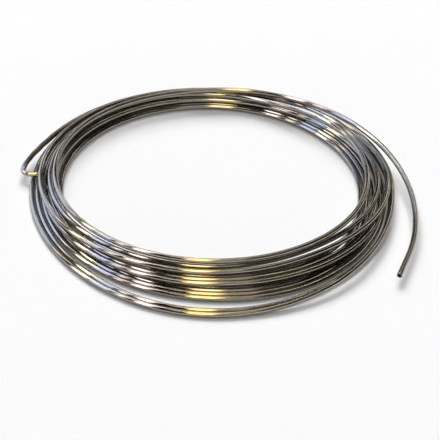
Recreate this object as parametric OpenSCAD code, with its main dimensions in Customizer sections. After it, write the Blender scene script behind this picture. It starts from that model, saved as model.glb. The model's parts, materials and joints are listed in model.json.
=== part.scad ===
// Coil of stainless steel tubing: one length of thin tube, wound in four
// loose layers, with a straight cut end lifted off the pile and a hand-bent hook.
// Millimetres. The origin is on the floor, on the axis of the coil.

/* [Tube] */
// Outside diameter of the tube
tube_od = 3.175; // [2.7:0.025:3.8]
// Wall thickness of the tube
wall = 0.5; // [0.3:0.05:0.7]
// Length of the straight piece at the cut end
end_length = 18; // [8:1:40]

/* [Coil] */
// Inside diameter of the coil
coil_id = 173.4; // [140:0.2:260]
// Clearance between neighbouring turns of a layer, beyond the facets' corners
turn_gap = 0.04; // [0.04:0.02:0.8]
// Height from one layer to the next, beyond the tube's own diameter
layer_gap = 0.65; // [0.6:0.05:1.5]

/* [Slump] */
// How far the floor layer has slid out at the front
front_slump = 8.2; // [0:0.1:9.4]
// How much further the two outermost turns bulge at the front
loose_bulge = 8.2; // [4:0.1:14]
// How much closer the layers lie to each other at the back
back_drop = 0.35; // [0:0.05:0.4]

/* [Ends] */
// Distance that the free end swings out of the coil
end_swing = 39.5; // [36:0.5:60]
// Clearance of the free end above a turn lying on the floor
end_lift = 0.84; // [0.6:0.02:4]

/* [Hidden] */

outer_sides = 8;
bore_sides = 6;
ring_step = 11.25;
stub_overlap = 0.1;

pitch = 2 * corner_radius(tube_od / 2, outer_sides) + turn_gap;
layer_pitch = tube_od + layer_gap;
end_height = 1.5 * tube_od + end_lift;

// Turns in each layer, from the floor up. Layers run inward and outward in turn.
layer_turns = [6, 3, 2, 2];
layers = len(layer_turns);
// Inset of each layer's innermost turn, in pitches
layer_inset = [0, 1, 2, 0.7];
// Distance from one column to the next in each layer, in pitches
layer_spread = [1, 1, 1.3, 1];
outer_column = layer_turns[0] - 1;
// Centre lines of the innermost and the outermost turn
inner_radius = coil_id / 2 + tube_od / 2;
outer_radius = inner_radius + outer_column * pitch;

// Column and row of each lane that the tube runs in, one turn after another. The lead from
// the hook lies on top of the outermost turn, then come the lanes of each layer.
lead_row = 1.15;
lanes = concat(
    [[outer_column, lead_row]],
    [for (j = [0:layers - 1]) for (i = [0:layer_turns[j] - 1])
        [layer_inset[j] + layer_spread[j] * (j % 2 == 0 ? layer_turns[j] - 1 - i : i), j]]
);
lane_layer = concat([0], [for (j = [0:layers - 1]) for (i = [0:layer_turns[j] - 1]) j]);
loose_turns = 2;
last_lane = len(lanes) - 1;

// How far the turns have slid off their columns, in pitches: at the front, at the right,
// at the back, at the left, and halfway between front and right
floor_slump = front_slump / pitch;
lead_lean = [floor_slump, 0.6, -1, -0.15, 0.85];
outer_lean = [floor_slump, 0.45, 0, -0.15, 0.35];
floor_lean = [floor_slump, 0.2, 0, -0.15, 0.45];
second_lean = [0.3, 1.5, -0.25, -0.2, 0.35];
third_leans = [[-1.6, 1.55, -0.7, 0, -0.9], [-1.75, 1.15, -0.7, -0.3, -0.95]];
top_lean = [-0.5, 0.55, -0.5, 0.1, 0];
end_lean = [-0.5, -0.5, -0.5, 0, 0];
leans = concat(
    [lead_lean, outer_lean],
    [for (i = [2:layer_turns[0]]) floor_lean],
    [for (i = [1:layer_turns[1]]) second_lean],
    third_leans,
    [top_lean, end_lean]
);
// The bulge of the loose turns is turned a little to the right and narrower than the slump.
bulge_turn = 5;
bulge_power = 4;
bulge_fade = 55;

// Angles are degrees of winding, run clockwise from the back left of the coil.
start_angle = 135;
first_shift = 195;
lead_delay = 8;
outer_delay = -12;
inner_delay = 20;
upper_advance = 26;
shift_width = 50;
// How far its climb runs ahead of its move sideways, off the lead and then off each layer
rise_leads = [6, 10, 6, -10];

// The free end leaves the top layer at the back, and comes down beside the pile.
leave_angle = 100;
leave_at = 360 * (last_lane - 1) + start_angle - leave_angle;
free_run = 132;
swing_power = 1.8;
drop_after = 50;
end_at = leave_at + free_run;

// The hook, from its tip: angle, then the distance out from the outermost turn and
// the height above the floor, both in tube diameters
hook = [
    [179.4, -1.3, 1.65], [179.4, -0.2, 1.67], [179.4, 0.7, 1.73], [179, 1.4, 1.8],
    [177.9, 1.73, 1.83], [176.4, 1.83, 1.88], [173.8, 1.7, 1.9], [170.6, 1.32, 1.9],
    [166.3, 0.88, 1.9], [158.3, 0.22, 1.9], [150.9, -0.16, 1.9], [143, -0.42, 1.87]
];

function ease(x) = let (t = min(max(x, 0), 1)) t * t * (3 - 2 * t);
function sum(list, i = 0) = i < len(list) ? list[i] + sum(list, i + 1) : 0;
function mix(a, b, t) = a * (1 - t) + b * t;
function polar(radius, angle, height) = [radius * cos(angle), radius * sin(angle), height];

// Where turn n moves over to lane n + 1. Upper layers move first in every round, so that
// each lane is empty before the turn below arrives.
function shift_stage(n) = 2 * lane_layer[n] + (lane_layer[n + 1] > lane_layer[n] ? 1 : 0);
function shift_delay(n) =
    n == 0 ? lead_delay :
    n < loose_turns ? outer_delay :
    shift_stage(n) == 0 ? inner_delay : -upper_advance * shift_stage(n);
function shift_at(n) = 360 * n + first_shift + shift_delay(n);
function rise_lead(n) =
    n == 0 ? rise_leads[0] : lane_layer[n + 1] > lane_layer[n] ? rise_leads[lane_layer[n] + 1] : 0;
// Heights use a lag of -1 and columns a lag of 1, which parts them by the rise's lead.
function lane_at(a, lag) =
    sum([for (n = [0:last_lane - 1])
        ease((a - shift_at(n) - lag * rise_lead(n)) / shift_width + 0.5)]);
function on_lane(table, a, lag) =
    let (n = lane_at(a, lag), i = min(floor(n), last_lane - 1)) mix(table[i], table[i + 1], n - i);

columns = [for (lane = lanes) lane[0]];
rows = [for (lane = lanes) lane[1]];
looseness = [for (n = [0:last_lane]) n <= loose_turns ? 1 : 0];

// Share of the front, right, back and left at an angle, then of the front right
function shares(angle) =
    let (q = [for (x = [-sin(angle), cos(angle), sin(angle), -cos(angle)]) pow(max(x, 0), 2)])
    concat(q, 4 * q[0] * q[1]);

// Centre line after a degrees of winding
function wound(a) =
    let (
        angle = start_angle - a,
        share = shares(angle),
        facing = max(cos(angle + 90 - bulge_turn), 0),
        bulge = loose_bulge * pow(facing, bulge_power) * on_lane(looseness, a + bulge_fade, 0),
        past = max(a - leave_at, 0),
        swing = end_swing * pow(past / free_run, swing_power),
        column = on_lane(columns, a, 1) + share * on_lane(leans, a, 1),
        radius = inner_radius + pitch * column + bulge + swing,
        height = tube_od / 2 + on_lane(rows, a, -1) * (layer_pitch - share[2] * back_drop)
    )
    polar(radius, angle, mix(height, end_height, ease((past - drop_after) / (free_run - drop_after))));

function unit(v) = v / norm(v);
function end_point() = wound(end_at);
function end_heading() =
    let (d = end_point() - wound(end_at - 1)) atan2(d[1], d[0]);
function end_axis() = [cos(end_heading()), sin(end_heading()), 0];

path = concat(
    [for (p = hook) polar(outer_radius + p[1] * tube_od, p[0], p[2] * tube_od)],
    [for (a = [0:ring_step:end_at - ring_step / 2]) wound(a)],
    [wound(end_at - 1), end_point(), end_point() + stub_overlap * end_axis()]
);

// Direction of the path at point i, and the ring of points around it
function heading(i) = unit(path[min(i + 1, len(path) - 1)] - path[max(i - 1, 0)]);
function ring(i, radius, sides) =
    let (
        forward = heading(i),
        side = unit(cross(forward, [0, 0, 1])),
        up = cross(side, forward)
    )
    [for (k = [0:sides - 1])
        let (turn = (k + 0.5) * 360 / sides)
        path[i] + radius * (cos(turn) * side + sin(turn) * up)];

// Corner radius of a polygon with the area of a circle
function corner_radius(radius, sides) = radius * sqrt(2 * PI / (sides * sin(360 / sides)));

// Faces of a skin through rings of points, from the first point on
function skin(first, sides, rings, outward) =
    [for (i = [0:rings - 2]) for (k = [0:sides - 1])
        let (
            here = first + i * sides + k,
            next = first + i * sides + (k + 1) % sides,
            quad = [here, next, next + sides, here + sides]
        )
        outward ? quad : [quad[3], quad[2], quad[1], quad[0]]];

// Triangles of an end face, between the outer ring and the bore's ring
function facing_corner(k) = round(k * bore_sides / outer_sides);
function end_face(outer, bore, flip) =
    let (
        triangles = concat(
            [for (k = [0:outer_sides - 1])
                [outer + k, outer + (k + 1) % outer_sides, bore + facing_corner(k) % bore_sides]],
            [for (k = [0:outer_sides - 1]) for (j = [facing_corner(k):1:facing_corner(k + 1) - 1])
                [bore + j % bore_sides, outer + (k + 1) % outer_sides, bore + (j + 1) % bore_sides]]
        )
    )
    [for (t = triangles) flip ? [t[2], t[1], t[0]] : t];

module swept_tube() {
    rings = len(path);
    outer_corner = corner_radius(tube_od / 2, outer_sides);
    bore_corner = corner_radius(tube_od / 2 - wall, bore_sides);
    bore_first = rings * outer_sides;
    points = concat(
        [for (i = [0:rings - 1]) each ring(i, outer_corner, outer_sides)],
        [for (i = [0:rings - 1]) each ring(i, bore_corner, bore_sides)]
    );
    faces = concat(
        skin(0, outer_sides, rings, true),
        skin(bore_first, bore_sides, rings, false),
        end_face(0, bore_first, true),
        end_face((rings - 1) * outer_sides, bore_first + (rings - 1) * bore_sides, false)
    );
    polyhedron(points, faces, convexity = 20);
}

// Straight cut end, a true cylinder with a true bore
module straight_end() {
    translate(end_point())
    rotate([0, 90, end_heading()])
    difference() {
        cylinder(h = end_length, d = tube_od, $fn = 48);
        translate([0, 0, -1]) cylinder(h = end_length + 2, d = tube_od - 2 * wall, $fn = 48);
    }
}

module coiled_tube() {
    color("silver")
    union() {
        swept_tube();
        straight_end();
    }
}

coiled_tube();
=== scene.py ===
import json
import math
import bpy
import numpy as np
from mathutils import Matrix


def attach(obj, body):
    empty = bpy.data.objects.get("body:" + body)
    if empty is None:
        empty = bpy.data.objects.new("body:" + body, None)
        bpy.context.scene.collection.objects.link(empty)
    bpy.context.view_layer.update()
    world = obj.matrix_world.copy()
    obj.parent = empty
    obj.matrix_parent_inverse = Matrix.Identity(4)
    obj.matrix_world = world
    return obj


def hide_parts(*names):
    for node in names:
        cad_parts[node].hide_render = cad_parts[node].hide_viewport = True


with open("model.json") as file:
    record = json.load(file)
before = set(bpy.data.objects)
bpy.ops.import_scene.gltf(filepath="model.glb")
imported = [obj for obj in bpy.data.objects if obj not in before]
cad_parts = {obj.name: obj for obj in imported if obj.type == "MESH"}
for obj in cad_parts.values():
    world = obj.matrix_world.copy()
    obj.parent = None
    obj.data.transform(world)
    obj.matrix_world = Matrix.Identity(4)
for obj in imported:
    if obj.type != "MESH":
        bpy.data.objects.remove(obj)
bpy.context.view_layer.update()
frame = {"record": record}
tubeEnd = next(m for m in frame["record"]["mounts"] if m["name"] == "tube_end")
print("frame loaded")

# Lengths are metres. Angles are degrees, of winding or of the compass round the coil.
# A pitch is the distance from one turn to the next. A lean is how far a turn has slid outwards off its
# column, in pitches: at the front, the right, the back and the left, then halfway from front to right.
tube = {
    "outerRadius": tubeEnd["dims"]["r_mm"] / 1000,
    "wall": 0.0005,
    "sides": 32,  # round the tube
    "step": 0.0055,  # between rings, along the outside
    "bend": 0.1,  # most that the outside turns from ring to ring, in radians
    "boreStep": 0.02,
    "boreBend": 0.25,
    "cutRounding": 0.00012,  # broken edge of the cut ends
    "cutAngles": [0, 30, 60, 90],  # rings round that edge
    # The layers, from the floor up. They run inwards and outwards in turn.
    "insideRadius": 0.0867,  # of the coil
    "turnGap": 0.00004,  # beyond the corners of the solid's eight-sided tube
    "layerGap": 0.00065,
    "layerTurns": [6, 3, 2, 2],
    "layerInset": [0, 1, 2, 0.7],  # of each layer's innermost turn, in pitches
    "layerSpread": [1, 1, 1.3, 1],  # from column to column, in pitches
    "leadRow": 1.15,  # height of the hook's lead over the outermost turn, in layers
    "looseTurns": 2,
    # Where the turns move over to their next lane
    "startAngle": 135,
    "firstShift": 195,
    "leadDelay": 8,
    "outerDelay": -12,
    "innerDelay": 20,
    "upperAdvance": 26,  # upper layers move first in each round
    "shiftWidth": 50,
    "riseLeads": [6, 10, 6, -10],  # how far a climb runs ahead, off the lead and then off each layer
    # How the pile has slid
    "frontSlump": 0.0082,  # of the floor layer
    "looseBulge": 0.0082,  # of the two outermost turns, beyond the slump
    "bulgeTurn": 5,
    "bulgePower": 4,
    "bulgeFade": 55,
    "backDrop": 0.00035,  # layers lie closer at the back
    "leadLean": (0, 0.6, -1, -0.15, 0.85),
    "outerLean": (0, 0.45, 0, -0.15, 0.35),
    "floorLean": (0, 0.2, 0, -0.15, 0.45),
    "secondLean": (0.3, 1.5, -0.25, -0.2, 0.35),
    "thirdLeans": [(-1.6, 1.55, -0.7, 0, -0.9), (-1.75, 1.15, -0.7, -0.3, -0.95)],
    "topLean": (-0.5, 0.55, -0.5, 0.1, 0),
    "endLean": (-0.5, -0.5, -0.5, 0, 0),
    # The free end
    "leaveAngle": 100,
    "endRun": 132,
    "endSwing": 0.0395,
    "swingPower": 1.8,
    "dropAfter": 50,
    "endLift": 0.00084,  # over a turn on the floor
    "endLength": 0.018,  # straight
    # The hook, from its tip: angle, then out from the outermost turn and up from the floor, in diameters
    "hook": [
        (179.4, -1.3, 1.65), (179.4, -0.2, 1.67), (179.4, 0.7, 1.73), (179, 1.4, 1.8),
        (177.9, 1.73, 1.83), (176.4, 1.83, 1.88), (173.8, 1.7, 1.9), (170.6, 1.32, 1.9),
        (166.3, 0.88, 1.9), (158.3, 0.22, 1.9), (150.9, -0.16, 1.9), (143, -0.42, 1.87),
    ],
    "bendAt": 0.0115,  # its tight bend, from the tip
    "bendReach": 0.007,
    "bendFlat": 0.15,  # how much thinner the tube is there
    # Unevenness: height and length of each wave
    "waves": [(0.00004, 0.091), (0.00002, 0.037), (0.00001, 0.019)],
    "handWave": (0.00016, 0.0125),  # left by hand beside the bend
    "handWaveEnd": 0.062,
    # How finely the centre line is drawn
    "hookSteps": 16,  # from each point of the hook to the next
    "firstTurned": 11.25,  # winding angle where the hook's curve hands over
    "windingStep": 0.5,
    "endSteps": 19,
    "headingReach": 0.0004,  # half the stretch that a heading is read over
}


def ease(x):
    # Smooth step: 3t^2 - 2t^3, held at 0 and 1 outside
    t = np.clip(x, 0, 1)
    return t * t * (3 - 2 * t)


def turnPitch():
    # Two corner radii of an octagon with the area of the round tube, and the gap
    cornerRadius = tube["outerRadius"] * math.sqrt(2 * math.pi / (8 * math.sin(math.pi / 4)))
    return 2 * cornerRadius + tube["turnGap"]


def laneTable():
    # One row for each turn in its order: column, row, looseness, then its five leans
    lanes = [(tube["layerTurns"][0] - 1, tube["leadRow"], 1)]
    layers = [0]
    for layer, count in enumerate(tube["layerTurns"]):
        for i in range(count):
            step = count - 1 - i if layer % 2 == 0 else i
            column = tube["layerInset"][layer] + tube["layerSpread"][layer] * step
            lanes.append((column, layer, len(lanes) <= tube["looseTurns"]))
            layers.append(layer)
    floorTurns, secondTurns = tube["layerTurns"][:2]
    leans = [tube["leadLean"], tube["outerLean"]] + [tube["floorLean"]] * (floorTurns - 1)
    leans += [tube["secondLean"]] * secondTurns
    leans = np.array(leans + tube["thirdLeans"] + [tube["topLean"], tube["endLean"]], float)
    leans[np.array(layers) == 0, 0] = tube["frontSlump"] / turnPitch()
    return np.concatenate([np.array(lanes, float), leans], 1), layers


def windingRoute(a):
    # Centre line after a degrees of winding. A lane number climbs by one with a smooth step at each
    # shift, and the table gives its column, row and leans. Radius = inside + pitch * (column + leans by
    # their share, cosine squared off each quarter) + bulge of the loose turns + swing of the free end.
    # Height = rows, then eased down to the free end.
    diameter = 2 * tube["outerRadius"]
    pitch = turnPitch()
    table, layers = laneTable()
    last = len(table) - 1

    def laneAt(at, lag):
        lane = 0
        leads = tube["riseLeads"]
        for n in range(last):
            rises = layers[n + 1] > layers[n]
            stage = 2 * layers[n] + rises
            delay = tube["innerDelay"] if stage == 0 else -tube["upperAdvance"] * stage
            if n < tube["looseTurns"]:
                delay = tube["leadDelay"] if n == 0 else tube["outerDelay"]
            centre = 360 * n + tube["firstShift"] + delay
            lead = leads[0] if n == 0 else leads[layers[n] + 1] if rises else 0
            lane = lane + ease((at - centre - lag * lead) / tube["shiftWidth"] + 0.5)
        return lane

    def onLane(column, at, lag):
        lane = laneAt(at, lag)
        i = np.minimum(lane.astype(int), last - 1)
        return table[i, column] + (table[i + 1, column] - table[i, column]) * (lane - i)

    angle = np.radians(tube["startAngle"] - a)
    quarters = np.clip([-np.sin(angle), np.cos(angle), np.sin(angle), -np.cos(angle)], 0, None) ** 2
    shares = [*quarters, 4 * quarters[0] * quarters[1]]
    lean = sum(share * onLane(3 + k, a, 1) for k, share in enumerate(shares))
    facing = np.clip(np.cos(angle + math.radians(90 - tube["bulgeTurn"])), 0, None)
    bulge = tube["looseBulge"] * facing ** tube["bulgePower"] * onLane(2, a + tube["bulgeFade"], 0)
    past = np.clip(a - (360 * (last - 1) + tube["startAngle"] - tube["leaveAngle"]), 0, None)
    swing = tube["endSwing"] * (past / tube["endRun"]) ** tube["swingPower"]
    radius = tube["insideRadius"] + diameter / 2 + pitch * (onLane(0, a, 1) + lean) + bulge + swing
    layerHeight = diameter + tube["layerGap"] - quarters[2] * tube["backDrop"]
    height = diameter / 2 + onLane(1, a, -1) * layerHeight
    down = ease((past - tube["dropAfter"]) / (tube["endRun"] - tube["dropAfter"]))
    height = height * (1 - down) + (1.5 * diameter + tube["endLift"]) * down
    return np.stack([radius * np.cos(angle), radius * np.sin(angle), height], 1)


def smoothThrough(points, perSpan):
    # Catmull-Rom curve: each span is a cubic whose slope at a point joins the point's neighbours
    p0, p1, p2, p3 = (points[i:len(points) - 3 + i, None] for i in range(4))
    t = (np.arange(perSpan) / perSpan)[None, :, None]
    curve = 0.5 * (2 * p1 + (p2 - p0) * t + (2 * p0 - 5 * p1 + 4 * p2 - p3) * t ** 2
                   + (3 * p1 - p0 - 3 * p2 + p3) * t ** 3)
    return curve.reshape(-1, 3)


def tubeRoute():
    # Hook, winding and straight end as one fine line of points
    diameter = 2 * tube["outerRadius"]
    outermost = tube["insideRadius"] + diameter / 2 + (tube["layerTurns"][0] - 1) * turnPitch()
    angle, out, up = np.array(tube["hook"]).T
    radius = outermost + out * diameter
    angle = np.radians(angle)
    hook = np.stack([radius * np.cos(angle), radius * np.sin(angle), up * diameter], 1)
    handOver = tube["firstTurned"]
    lead = windingRoute(np.array([0, handOver, 2 * handOver]))
    before = 2 * hook[:1] - hook[1:2]
    bend = smoothThrough(np.concatenate([before, hook, lead]), tube["hookSteps"])
    turned = 360 * (sum(tube["layerTurns"]) - 1) + tube["startAngle"] - tube["leaveAngle"] + tube["endRun"]
    winding = windingRoute(np.arange(handOver, turned, tube["windingStep"]))
    end = windingRoute(np.array([turned - 1.0, turned]))
    heading = end[1] - end[0]
    heading[2] = 0
    heading /= np.linalg.norm(heading)
    straight = end[1] + np.linspace(0, tube["endLength"], tube["endSteps"])[:, None] * heading
    return np.concatenate([bend, winding, straight])


def evenStations(route, step, bend):
    # Distances along the route, a step apart where it is nearly straight and closer where it bends
    chord = np.diff(route, axis=0)
    length = np.linalg.norm(chord, axis=1)
    along = np.concatenate([[0], np.cumsum(length)])
    heading = chord / length[:, None]
    turn = np.arccos(np.clip((heading[1:] * heading[:-1]).sum(1), -1, 1))
    turn = np.concatenate([[0], turn, [0]])
    weight = np.concatenate([[0], np.cumsum(length / step + 0.5 * (turn[1:] + turn[:-1]) / bend)])
    return np.interp(np.linspace(0, weight[-1], int(weight[-1]) + 1), weight, along), along


def waver(s, total):
    # Sideways offset of the slightly uneven tube: a sum of sines, faded out towards the straight end,
    # and a stronger sine along the hook's arm
    offset = sum(height * np.sin(2 * np.pi * s / length) for height, length in tube["waves"])
    height, length = tube["handWave"]
    past = s - tube["bendAt"] - tube["bendReach"]
    fade = ease(past / length) * ease((tube["handWaveEnd"] - s) / length)
    offset = offset + height * fade * np.sin(2 * np.pi * past / length)
    return offset * ease((total - 2 * tube["endLength"] - s) / tube["endLength"])


def levelSide(heading):
    # Level unit vector square to each heading: heading x up
    side = np.cross(heading, [0, 0, 1])
    return side / np.linalg.norm(side, axis=1)[:, None]


def placeOn(route, along, s):
    # Point and unit heading of the route at each distance s. The point is moved sideways by the waver,
    # and the heading is the chord over a short reach, turned by the waver's slope.
    total = along[-1]
    reach = tube["headingReach"]

    def at(distance):
        return np.stack([np.interp(distance, along, route[:, i]) for i in range(3)], 1)

    chord = at(s + reach) - at(s - reach)
    side = levelSide(chord)
    slope = (waver(s + reach, total) - waver(s - reach, total))[:, None]
    heading = chord + slope * side
    return at(s) + waver(s, total)[:, None] * side, heading / np.linalg.norm(heading, axis=1)[:, None]


def makeMesh(name, vertices, faces):
    # A smooth mesh of four-sided faces, given as arrays
    mesh = bpy.data.meshes.new(name)
    mesh.vertices.add(len(vertices))
    mesh.vertices.foreach_set("co", vertices.astype(np.float32).ravel())
    mesh.loops.add(faces.size)
    mesh.loops.foreach_set("vertex_index", faces.astype(np.int32).ravel())
    mesh.polygons.add(len(faces))
    mesh.polygons.foreach_set("loop_start", np.arange(0, faces.size, faces.shape[1], dtype=np.int32))
    mesh.update(calc_edges=True)
    mesh.polygons.foreach_set("use_smooth", np.ones(len(faces), bool))
    piece = bpy.data.objects.new(name, mesh)
    bpy.context.scene.collection.objects.link(piece)
    return piece


def addVectors(piece, name, vectors):
    attribute = piece.data.attributes.new(name, "FLOAT_VECTOR", "POINT")
    attribute.data.foreach_set("vector", vectors.astype(np.float32).ravel())


def makeTube():
    # A closed profile carried along the route: the outside from the hook's tip to the cut end, round
    # the end's edges into the bore, and back along the bore to the tip. Each ring is
    # point + radius * (cos(turn) * side + sin(turn) * up), with side level and square to the heading.
    # A bell curve along the tube flattens the rings at the hook's bend.
    # The attribute onTube unrolls it for the finish: cos(turn), sin(turn) and the distance along.
    route = tubeRoute()
    outer, along = evenStations(route, tube["step"], tube["bend"])
    bore, _ = evenStations(route, tube["boreStep"], tube["boreBend"])
    total = along[-1]
    outerRadius = tube["outerRadius"]
    boreRadius = outerRadius - tube["wall"]
    soft = tube["cutRounding"]
    cut = np.radians(tube["cutAngles"])
    lipOut = soft * np.sin(cut)  # how far each ring of a rounded edge has gone along the tube
    lipIn = soft * (1 - np.cos(cut))
    edgeAlong = np.concatenate([total - soft + lipOut, total - soft + lipOut[::-1]])
    edgeRadius = np.concatenate([outerRadius - lipIn, boreRadius + lipIn[::-1]])
    body = outer[(outer > 2 * soft) & (outer < total - 2 * soft)]
    hollow = bore[(bore > 2 * soft) & (bore < total - 2 * soft)][::-1]
    s = np.concatenate([body, edgeAlong, hollow, total - edgeAlong[::-1]])
    bodyRadius = np.full(len(body), outerRadius)
    hollowRadius = np.full(len(hollow), boreRadius)
    radius = np.concatenate([bodyRadius, edgeRadius, hollowRadius, edgeRadius[::-1]])[:, None, None]
    point, heading = placeOn(route, along, s)
    side = levelSide(heading)
    up = np.cross(side, heading)
    count, sides = len(s), tube["sides"]
    turn = np.arange(sides) * 2 * np.pi / sides
    squash = tube["bendFlat"] * np.exp(-((s - tube["bendAt"]) / tube["bendReach"]) ** 2)[:, None, None]
    across = (1 + 0.5 * squash) * np.cos(turn)[:, None] * side[:, None]
    upward = (1 - squash) * np.sin(turn)[:, None] * up[:, None]
    rings = point[:, None] + radius * (across + upward)
    i, j = np.meshgrid(np.arange(count), np.arange(sides), indexing="ij")
    here, after = i * sides, (i + 1) % count * sides
    nextJ = (j + 1) % sides
    faces = np.stack([here + j, here + nextJ, after + nextJ, after + j], -1).reshape(-1, 4)
    piece = makeMesh("tube", rings.reshape(-1, 3), faces)
    addVectors(piece, "onTube", np.stack([np.cos(turn)[j], np.sin(turn)[j], s[i]], -1))
    addVectors(piece, "heading", np.repeat(heading, sides, 0))
    print("tube:", round(total, 3), "m along,", len(faces) * 2, "triangles")
    return piece


# The drawn finish. A stretch counts repeats: over the tube's radius, both ways, then over a metre along it.
steel = {
    "colour": (0.355, 0.342, 0.32),
    "tarnished": (0.29, 0.265, 0.222),
    "streakColour": (0.13, 0.12, 0.104),
    "streakShade": 0.5,  # most that a streak darkens
    "roughness": (0.06, 0.15),  # between streaks and on them
    "anisotropy": 0.9,
    "streakStretch": (5.5, 5.5, 30),
    "streakDetail": 3,
    "streakDepth": 0.00002,
    "tarnishStretch": (0.8, 0.8, 9),
    "tarnishDetail": 2,
    "noiseRange": (0.3, 0.7),  # of the noise, spread over the whole of each effect
}


def steelMaterial():
    # Drawn bright steel. Streaks are noise in (cos turn, sin turn, distance along), squeezed along the
    # tube; they shade the colour, the roughness and a slight bump. Tarnish is a slower noise.
    material = bpy.data.materials.new("brightSteel")
    material.use_nodes = True
    nodes, links = material.node_tree.nodes, material.node_tree.links
    shader = nodes["Principled BSDF"]

    def attribute(name):
        node = nodes.new("ShaderNodeAttribute")
        node.attribute_name = name
        return node.outputs["Vector"]

    def noise(source, stretch, detail):
        mapping = nodes.new("ShaderNodeMapping")
        mapping.inputs["Scale"].default_value = stretch
        links.new(source, mapping.inputs["Vector"])
        node = nodes.new("ShaderNodeTexNoise")
        node.inputs["Scale"].default_value = 1
        node.inputs["Detail"].default_value = detail
        links.new(mapping.outputs[0], node.inputs["Vector"])
        return node.outputs["Fac"]

    def spread(value, low, high):
        node = nodes.new("ShaderNodeMapRange")
        node.inputs["From Min"].default_value, node.inputs["From Max"].default_value = steel["noiseRange"]
        node.inputs["To Min"].default_value = low
        node.inputs["To Max"].default_value = high
        links.new(value, node.inputs["Value"])
        return node.outputs[0]

    def blend(share, first, second):
        node = nodes.new("ShaderNodeMix")
        node.data_type = "RGBA"
        links.new(share, node.inputs["Factor"])
        for socket, colour in (("A", first), ("B", second)):
            target = next(i for i in node.inputs if i.name == socket and i.type == "RGBA")
            if isinstance(colour, tuple):
                target.default_value = (*colour, 1)
            else:
                links.new(colour, target)
        return next(o for o in node.outputs if o.type == "RGBA")

    onTube = attribute("onTube")
    streaks = noise(onTube, steel["streakStretch"], steel["streakDetail"])
    tarnish = noise(onTube, steel["tarnishStretch"], steel["tarnishDetail"])
    colour = blend(spread(tarnish, 0, 1), steel["colour"], steel["tarnished"])
    colour = blend(spread(streaks, 0, steel["streakShade"]), colour, steel["streakColour"])
    links.new(colour, shader.inputs["Base Color"])
    links.new(spread(streaks, *steel["roughness"]), shader.inputs["Roughness"])
    bump = nodes.new("ShaderNodeBump")
    bump.inputs["Strength"].default_value = 1
    bump.inputs["Distance"].default_value = steel["streakDepth"]
    links.new(streaks, bump.inputs["Height"])
    links.new(bump.outputs[0], shader.inputs["Normal"])
    # The drawn lines scatter light round the tube, so the tangent is normal x heading
    around = nodes.new("ShaderNodeVectorMath")
    around.operation = "CROSS_PRODUCT"
    geometry = nodes.new("ShaderNodeNewGeometry")
    links.new(geometry.outputs["Normal"], around.inputs[0])
    links.new(attribute("heading"), around.inputs[1])
    links.new(around.outputs[0], shader.inputs["Tangent"])
    shader.inputs["Anisotropic"].default_value = steel["anisotropy"]
    shader.inputs["Metallic"].default_value = 1
    print("steel finish made")
    return material


viewpoint = {
    "elevation": 35.7,
    "roll": 1.75,
    "distance": 1.0,
    "lens": 141.7,  # millimetres
    "sensor": 36,
    "target": (0.0066, -0.032, 0),
}


def direction(azimuth, elevation):
    # Unit vector: (cos e cos a, cos e sin a, sin e)
    a, e = math.radians(azimuth), math.radians(elevation)
    return np.array([math.cos(e) * math.cos(a), math.cos(e) * math.sin(a), math.sin(e)])


def viewWay():
    # From the coil to the camera, which stands in front of it
    return direction(-90, viewpoint["elevation"])


def stand(thing, x, y, z, place):
    # Puts a lamp or camera at a place with its own axes along x, y and z
    matrix = Matrix.Identity(4)
    for i, axis in enumerate((x, y, z, place)):
        for k in range(3):
            matrix[k][i] = axis[k]
    thing.matrix_world = matrix
    bpy.context.scene.collection.objects.link(thing)


def makeCamera():
    # The camera's own axes are level right and steep up, both turned by the roll
    elevation, roll = math.radians(viewpoint["elevation"]), math.radians(viewpoint["roll"])
    right, up = np.array([1.0, 0, 0]), np.array([0, math.sin(elevation), math.cos(elevation)])
    data = bpy.data.cameras.new("camera")
    data.sensor_width = viewpoint["sensor"]
    data.lens = viewpoint["lens"]
    camera = bpy.data.objects.new("camera", data)
    x = right * math.cos(roll) + up * math.sin(roll)
    y = up * math.cos(roll) - right * math.sin(roll)
    stand(camera, x, y, viewWay(), np.array(viewpoint["target"]) + viewWay() * viewpoint["distance"])
    bpy.context.scene.camera = camera
    print("camera placed")


floorDish = {
    "radius": 2.4,
    "rimBend": 0.25,  # radius of the turn-up
    "bendAngles": 13,  # rings over it
    "rimHeight": 0.7,
    "turnStep": 5,
    "below": 0.00005,  # the coil
    "colour": (0.85, 0.85, 0.85),
    "glow": 0.1,
    "wallGlow": 0.75,
    "wallFrom": 0.87,  # upward share of the normal from which it glows as the wall does
}


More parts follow.
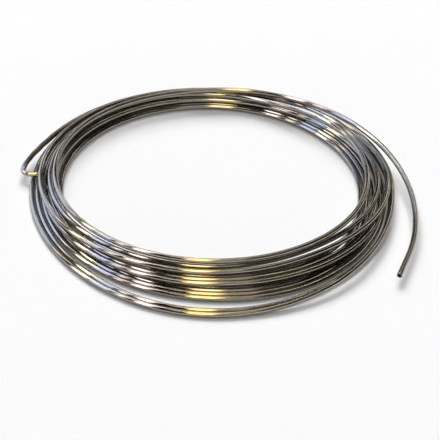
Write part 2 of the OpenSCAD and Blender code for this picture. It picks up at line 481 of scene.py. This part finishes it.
def floorMaterial():
    # White paint that also glows a little where it is seen or mirrored. The glow grows with the slope,
    # as the wall gets less light than the floor.
    material = bpy.data.materials.new("floor")
    material.use_nodes = True
    nodes, links = material.node_tree.nodes, material.node_tree.links
    nodes.remove(nodes["Principled BSDF"])

    def combine(operation, first, second):
        node = nodes.new("ShaderNodeMath")
        node.operation = operation
        links.new(first, node.inputs[0])
        links.new(second, node.inputs[1])
        return node.outputs[0]

    diffuse = nodes.new("ShaderNodeBsdfDiffuse")
    diffuse.inputs["Color"].default_value = (*floorDish["colour"], 1)
    lightPath = nodes.new("ShaderNodeLightPath")
    seen = lightPath.outputs["Is Camera Ray"]
    for ray in ("Is Glossy Ray", "Is Transmission Ray"):
        seen = combine("MAXIMUM", seen, lightPath.outputs[ray])
    geometry = nodes.new("ShaderNodeNewGeometry")
    apart = nodes.new("ShaderNodeSeparateXYZ")
    links.new(geometry.outputs["Normal"], apart.inputs[0])
    slope = nodes.new("ShaderNodeMapRange")
    slope.inputs["From Min"].default_value = floorDish["wallFrom"]
    slope.inputs["To Min"].default_value = floorDish["wallGlow"]
    slope.inputs["To Max"].default_value = floorDish["glow"]
    links.new(apart.outputs["Z"], slope.inputs["Value"])
    glow = nodes.new("ShaderNodeEmission")
    links.new(combine("MULTIPLY", seen, slope.outputs[0]), glow.inputs["Strength"])
    both = nodes.new("ShaderNodeAddShader")
    links.new(diffuse.outputs[0], both.inputs[0])
    links.new(glow.outputs[0], both.inputs[1])
    links.new(both.outputs[0], nodes["Material Output"].inputs["Surface"])
    return material


def makeFloor():
    # A round floor that turns up into a low wall far out. The profile's radius and height are swept
    # round; the turn-up is a quarter circle. One many-sided face closes the middle.
    bend = np.radians(np.linspace(0, 90, floorDish["bendAngles"]))
    curve = floorDish["rimBend"]
    radius = floorDish["radius"] + curve * np.sin(bend)
    radius = np.append(radius, radius[-1])[:, None]
    height = np.append(curve * (1 - np.cos(bend)), floorDish["rimHeight"])[:, None] - floorDish["below"]
    turn = np.radians(np.arange(0, 360, floorDish["turnStep"]))
    rings = np.stack(np.broadcast_arrays(radius * np.cos(turn), radius * np.sin(turn), height), -1)
    count, around = rings.shape[:2]
    i, j = np.meshgrid(np.arange(count - 1), np.arange(around), indexing="ij")
    here, outside = i * around, (i + 1) * around
    nextJ = (j + 1) % around
    faces = np.stack([here + j, outside + j, outside + nextJ, here + nextJ], -1)
    mesh = bpy.data.meshes.new("floor")
    middle = list(range(around))
    mesh.from_pydata(rings.reshape(-1, 3).tolist(), [], faces.reshape(-1, 4).tolist() + [middle])
    mesh.polygons.foreach_set("use_smooth", np.ones(len(mesh.polygons), bool))
    mesh.materials.append(floorMaterial())
    floor = bpy.data.objects.new("floor", mesh)
    bpy.context.scene.collection.objects.link(floor)
    print("floor made")


bandTilts = (22, 12, 4, -6, -18, -34, -56)

# A strip is only mirrored by the steel: coil angle where it shows, width, then the tilts of the tube's
# surface that mirror its ends and joints, colour and strength. A lamp: direction, width and height, both
# in degrees, colour, strength, and whether the steel mirrors it or it lights the floor.
studio = {
    "strips": [
        ("bronze", 97, 13, bandTilts, (1, 0.92, 0.76), 0.8),
        ("gold", 86.5, 9.5, bandTilts, (1, 0.81, 0.38), 5.6),
        ("amber", 77, 5, (-18, -34), (1, 0.9, 0.75), 1.8),
        ("pink", 65.5, 6.5, bandTilts, (1, 0.88, 0.9), 6.4),
        ("white", 57, 4, bandTilts, (1, 0.96, 0.94), 3.8),
        ("blue", 49, 9, bandTilts, (0.53, 0.66, 1), 4.2),
        ("cream", 41, 8, bandTilts, (1, 0.95, 0.78), 6.4),
        ("sky", 16, 36, (-6, -18, -36, -60), (0.6, 0.7, 0.95), 0.9),
        ("straw", 30, 6, (-4, -20, -40), (1, 0.93, 0.7), 3.0),
        ("brown", 112, 24, (-30, -50), (1, 0.8, 0.6), 0.22),
    ],
    "lamps": [
        ("key", (98, 43), 36, 30, (0.99, 0.992, 1), 10.4, False),
        ("fill", (100, 80), 60, 60, (0.99, 0.995, 1), 0.95, False),
        ("back", (68, 49), 6, 44, (1, 0.93, 0.76), 4.4, True),
    ],
    # A small near window of three panes, at the left
    "window": {
        "place": (-0.28, 0.15),
        "aim": (-0.09, -0.03, 0),
        "width": 0.28,
        "panes": [(0.035, 0.05), (0.11, 0.06), (0.21, 0.08)],  # height of the middle, height
        "colour": (0.6, 0.7, 1),
        "strength": 2.1,
    },
    "distance": 14,  # of the strips and lamps
    "surroundings": (0.018, 0.016, 0.013),
}


def reflectedWay(coilAngle, tilt):
    # Where the camera's ray goes after a tube that lies across coilAngle, off a normal tilted that far
    # from straight up: twice the view's share along the normal, less the view
    a, b = math.radians(coilAngle), math.radians(tilt)
    normal = np.array([math.sin(b) * math.cos(a), math.sin(b) * math.sin(a), math.cos(b)])
    return 2 * normal.dot(viewWay()) * normal - viewWay()


def panel(name, middle, longAxis, width, length, colour, strength, mirrored, aim=(0, 0, 0)):
    # A soft rectangle of light that faces its aim. Its radiance is strength times colour. It is
    # either mirrored by the steel or lights the floor.
    facing = (middle - np.array(aim)) / np.linalg.norm(middle - np.array(aim))
    longAxis = longAxis - facing * longAxis.dot(facing)
    longAxis /= np.linalg.norm(longAxis)
    light = bpy.data.lights.new(name, "AREA")
    light.shape = "RECTANGLE"
    light.size, light.size_y = width, length
    light.color = colour
    light.energy = strength * math.pi * width * length
    lamp = bpy.data.objects.new(name, light)
    stand(lamp, np.cross(longAxis, facing), longAxis, facing, middle)
    lamp.visible_glossy = mirrored
    lamp.visible_diffuse = not mirrored
    lamp.visible_camera = False


def stripArc(name, coilAngle, spread, tilts, colour, strength):
    # A strip of light in flat pieces over the coil, in the directions that the tubes mirror where they
    # lie across coilAngle. A piece is as wide as the half vector leans from straight up, so that the
    # strip shows over the same spread of coil angles at every tilt.
    distance = studio["distance"]
    for i, (first, last) in enumerate(zip(tilts[:-1], tilts[1:])):
        start, middle, end = (reflectedWay(coilAngle, t) for t in (first, (first + last) / 2, last))
        angle = math.radians(spread) * math.hypot(*(middle + viewWay())[:2])
        across = 2 * distance * math.tan(angle / 2)
        length = 2 * distance * math.tan(math.acos(float(np.clip(start.dot(end), -1, 1))) / 2)
        panel(f"{name}{i}", middle * distance, end - start, across, length, colour, strength, True)


def makeLights():
    upward = np.array([0, 0, 1.0])
    for name, *strip in studio["strips"]:
        stripArc(name, *strip)
    for name, way, *spans, colour, strength, mirrored in studio["lamps"]:
        width, height = (2 * studio["distance"] * math.tan(math.radians(span / 2)) for span in spans)
        middle = direction(*way) * studio["distance"]
        panel(name, middle, upward, width, height, colour, strength, mirrored)
    window = studio["window"]
    for height, size in window["panes"]:
        middle = np.array([*window["place"], height])
        panel("window", middle, upward, window["width"], size, window["colour"],
              window["strength"], True, window["aim"])
    world = bpy.data.worlds.new("world")
    bpy.context.scene.world = world
    world.use_nodes = True
    world.node_tree.nodes["Background"].inputs[0].default_value = (*studio["surroundings"], 1)
    print("lights:", len(bpy.data.lights), "panels")


makeCamera()
makeFloor()
makeLights()
piece = makeTube()
piece.data.materials.append(steelMaterial())
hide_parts("coiled_tube")
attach(piece, "root")
bpy.context.scene.view_settings.view_transform = "Standard"
